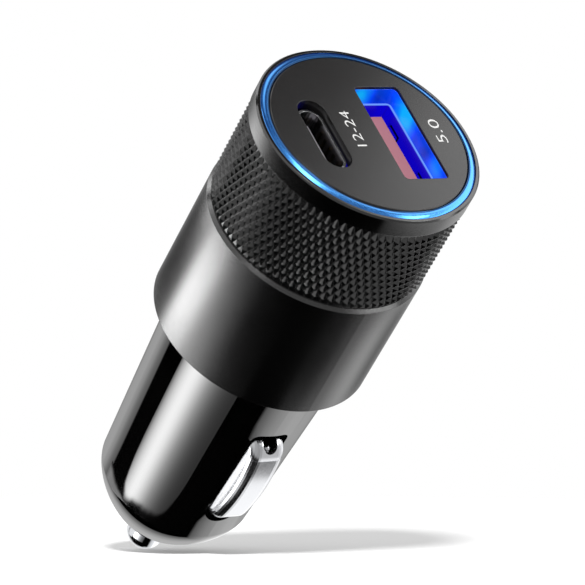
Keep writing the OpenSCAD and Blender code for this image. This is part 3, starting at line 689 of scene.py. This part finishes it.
def reflector(name, psi, z, strength, stops, edge, r=CARD_R):
    """Curved card round the axis. psi is measured from the camera's side, in degrees;
    stops are (psi, share of the strength). z holds the card's foot and top, each a height
    or a function of psi. edge holds the shares that fade at its foot and top."""
    n = 72
    verts, faces = [], []
    for i in range(n + 1):
        p = psi[0] + (psi[1] - psi[0]) * i / n
        a = math.radians(VIEW + p)
        for h in z:
            verts.append((r * math.cos(a), r * math.sin(a), h(p) if callable(h) else h))
    for i in range(n):
        faces.append((2 * i, 2 * i + 1, 2 * i + 3, 2 * i + 2))
    span = psi[1] - psi[0]
    marks = [((p - psi[0]) / span, v) for p, v in stops]
    card = staged(name, verts, faces, reflector_material(name, strength, marks, edge), True)
    uv = card.data.uv_layers.new(name="UVMap")
    for poly in card.data.polygons:
        for corner in poly.loop_indices:
            vertex = card.data.loops[corner].vertex_index
            uv.data[corner].uv = ((vertex // 2) / n, vertex % 2)
    only_reflected(card)


TENT_AT = Vector((0, 0, -25 * MM))
TENT_R = 0.2
TENT_Z = (-0.34, 0.36)
# strengths of the opening behind, the one at the right, the soft panels and the lobes
BEHIND, ASIDE, SOFT, LOBES = 1.15, 1.5, 2.3, 8.0


def tent():
    """Cloth round the set, seen only in reflections: dark near the camera, with a pale
    opening behind the object and one at its right, soft panels higher up, and lobes for
    what faces up."""
    t = Tree("tent_cloth")
    # the normal of a surface that shows this spot of the cloth in the picture
    facing = t.vector("NORMALIZE", t.vector("ADD", t.vector("NORMALIZE", t.place()), back))

    def along(vec):
        return t.vector("DOT_PRODUCT", facing, vec)

    front = Vector((back.x, back.y, 0)).normalized()
    square = along(back)                                    # 1 straight on, 0 at the rim
    side = t.math("ARCTAN2", along(level), along(front))    # radians, right is positive
    side = t.math("MULTIPLY", side, 180 / math.pi)
    tilt = along(Vector((0, 0, 1)))
    lifted = t.math("MULTIPLY_ADD", tilt, -0.11, square)
    behind = t.ramp(lifted, [(0.10, grey(0.25)), (0.20, grey(0.6)), (0.33, grey(0.95)),
                             (0.40, grey(0.82)), (0.45, grey(0.5)), (0.485, grey(0.38)),
                             (0.50, grey(0.0))])
    opening = t.ramp(t.ramp_range(side, 0, 90), [
        (0.31, grey(0.0)), (0.335, grey(0.34)), (0.40, grey(0.62)), (0.50, grey(0.95)),
        (0.60, grey(1.0)), (0.68, grey(0.85)), (0.74, grey(0.5)), (0.80, grey(0.14)),
        (0.90, grey(0.06))])
    right_side = t.ramp_range(side, 22, 30, smooth=True)
    glow = t.math("MAXIMUM", t.math("MULTIPLY", behind, BEHIND), t.math(
        "MULTIPLY", t.math("MULTIPLY", opening, right_side), ASIDE))
    lobes = t.ramp(t.ramp_range(side, -120, 120), [
        (0.0, grey(0.02)), (0.17, grey(0.03)), (0.21, grey(0.9)), (0.25, grey(0.9)),
        (0.29, grey(0.03)), (0.40, grey(0.03)), (0.425, grey(1.0)), (0.45, grey(1.0)),
        (0.475, grey(0.04)), (0.63, grey(0.04)), (0.67, grey(1.0)), (0.71, grey(1.0)),
        (0.75, grey(0.05)), (0.84, grey(0.25)), (0.9, grey(0.03)), (1.0, grey(0.02))])
    high = t.ramp_range(tilt, 0.78, 0.86, 0, 1, smooth=True)
    middle = t.ramp_range(tilt, 0.24, 0.40, 0, 1, smooth=True)
    soft = t.ramp(t.ramp_range(side, -120, 120), [
        (0.0, grey(0.1)), (0.1, grey(0.8)), (0.22, grey(1.0)), (0.32, grey(0.5)),
        (0.45, grey(0.22)), (0.62, grey(0.16)), (0.74, grey(0.4)), (0.86, grey(0.6)),
        (1.0, grey(0.1))])
    light = t.add("ShaderNodeEmission")
    power = t.blend(middle, glow, t.math("MULTIPLY", soft, SOFT))
    power = t.blend(high, power, t.math("MULTIPLY", lobes, LOBES))
    t.put(light.inputs["Strength"], power)
    t.nt.links.new(light.outputs[0], t.out.inputs[0])
    n = 64
    verts = [(TENT_R * math.cos(2 * math.pi * i / n), TENT_R * math.sin(2 * math.pi * i / n), h)
             for h in TENT_Z for i in range(n)]
    faces = [(i, (i + 1) % n, n + (i + 1) % n, n + i) for i in range(n)]
    faces += [tuple(range(n)), tuple(range(n, 2 * n))]
    cloth = staged("tent", [tuple(Vector(v) - TENT_AT) for v in verts], faces, t.mat)
    cloth.location = TENT_AT
    only_reflected(cloth)


tent()


def clamped(v):
    return min(max(v, 0), 1)


# barrel: a tall strip with a rounded foot, bright at its left edge and fading inwards
STRIP = (-69, 18)
STRIP_FOOT, STRIP_TOP = -185 * MM, -123.5 * MM
CORNER = 22                       # how far each rounded corner runs, in degrees
CORNER_LIFT = (17 * MM, 12 * MM)  # how far the foot rises at the left and right corner
LEAN_DROP = 3 * MM                # how much lower the foot's right end is


def strip_foot(p):
    """Height of the strip's foot: rounded at both corners and lower at its right."""
    left, right_end = STRIP
    lift = 0
    for inward, rise_by in zip((p - left, right_end - p), CORNER_LIFT):
        share = 1 - clamped(inward / CORNER)
        lift += (1 - math.sqrt(1 - share ** 2)) * rise_by
    return STRIP_FOOT + lift - LEAN_DROP * (p - left) / (right_end - left)


reflector("strip_barrel", STRIP, (strip_foot, STRIP_TOP), 5.3,
          [(-69, 0.06), (-64, 0.4), (-58, 0.66), (-50, 0.96), (-43, 1.0), (-36, 0.86),
           (-28, 0.55), (-20, 0.3), (-10, 0.13), (0, 0.06), (10, 0.035), (18, 0.03)],
          (0.04, 0))

# a low wedge that carries the pale band at the left on round the nose: its radius, and
# its top as (psi, height in millimetres)
WEDGE_R = 60 * MM
WEDGE = ((-98, -79.5), (-95, -79.9), (-80, -81.3), (-66, -82.7),
         (-49, -83.9), (-38, -84.6))


def wedge_top(p):
    """Height of the wedge's top, between the points of WEDGE."""
    for (p0, z0), (p1, z1) in zip(WEDGE, WEDGE[1:]):
        if p <= p1:
            return (z0 + (z1 - z0) * (p - p0) / (p1 - p0)) * MM
    return WEDGE[-1][1] * MM


def wedge_foot(p):
    """Height of the wedge's foot, which rises to the right."""
    return (-125 + 38 * clamped((p + 76) / 30)) * MM


reflector("wedge_nose", (WEDGE[0][0], WEDGE[-1][0]), (wedge_foot, wedge_top), 1.0,
          [(-98, 0.6), (-92, 0.95), (-80, 1.4), (-66, 1.7), (-50, 1.8), (-38, 1.8)],
          (0, 0.03), r=WEDGE_R)

# head: a softer strip at each side, and one row for its rim
HEAD_ROW = (-123.2 * MM, -98 * MM)
RIM_ROW = (-97.8 * MM, -76 * MM)

reflector("row_head", (-180, 180), HEAD_ROW, 11.5,
          [(-180, 0.05), (-150, 0.01), (-122, 0.01), (-110, 0.03), (-101, 0.1),
           (-94, 0.42), (-87, 0.88), (-78, 1.0), (-66, 0.9), (-58, 0.5), (-48, 0.22),
           (-36, 0.1), (-24, 0.03), (-12, 0.0), (70, 0.0), (84, 0.035), (96, 0.09),
           (108, 0.14), (118, 0.14), (128, 0.07), (140, 0.02), (160, 0.03), (180, 0.05)],
          (0, 0))
reflector("row_rim", (-180, 180), RIM_ROW, 4.6,
          [(-180, 0.1), (-156, 0.02), (-138, 0.08), (-128, 0.2), (-118, 0.5),
           (-108, 0.92), (-100, 1.0), (-92, 0.8), (-84, 0.5), (-76, 0.2), (-64, 0.04),
           (-50, 0.0), (70, 0.0), (88, 0.06), (104, 0.13), (120, 0.22), (138, 0.19),
           (156, 0.12), (180, 0.1)], (0, 0))

# above: a soft panel close to the face, brighter at its right, with a strip at its left
FACE_PANEL = (45 * MM, 124 * MM)
FACE_PANEL_R = 80 * MM
reflector("panel_face", (100, 250), FACE_PANEL, 2.5,
          [(100, 1.2), (150, 1.5), (164, 1.6), (173, 1.2), (180, 0.26), (186, 0.03),
           (203, 0.03), (209, 0.7), (218, 0.7), (224, 0.03), (250, 0.0)], (0.12, 0.45),
          r=FACE_PANEL_R)


# key lamp: LEAN is its angle from the floor's normal, towards the camera
LEAN = math.radians(54)
KEY_AWAY, KEY_SIZE, KEY_POWER = 0.6, 0.1, 5.6
near = (back - ground * back.dot(ground)).normalized()
toward = (ground * math.cos(LEAN) + near * math.sin(LEAN)).normalized()
key_data = bpy.data.lights.new("key", "AREA")
key_data.shape = "DISK"
key_data.size = KEY_SIZE
key_data.energy = KEY_POWER
key = bpy.data.objects.new("key", key_data)
scene.collection.objects.link(key)
key.matrix_world = Matrix.Translation(toward * KEY_AWAY) @ toward.to_track_quat(
    "Z", "Y").to_matrix().to_4x4()
key.visible_glossy = False
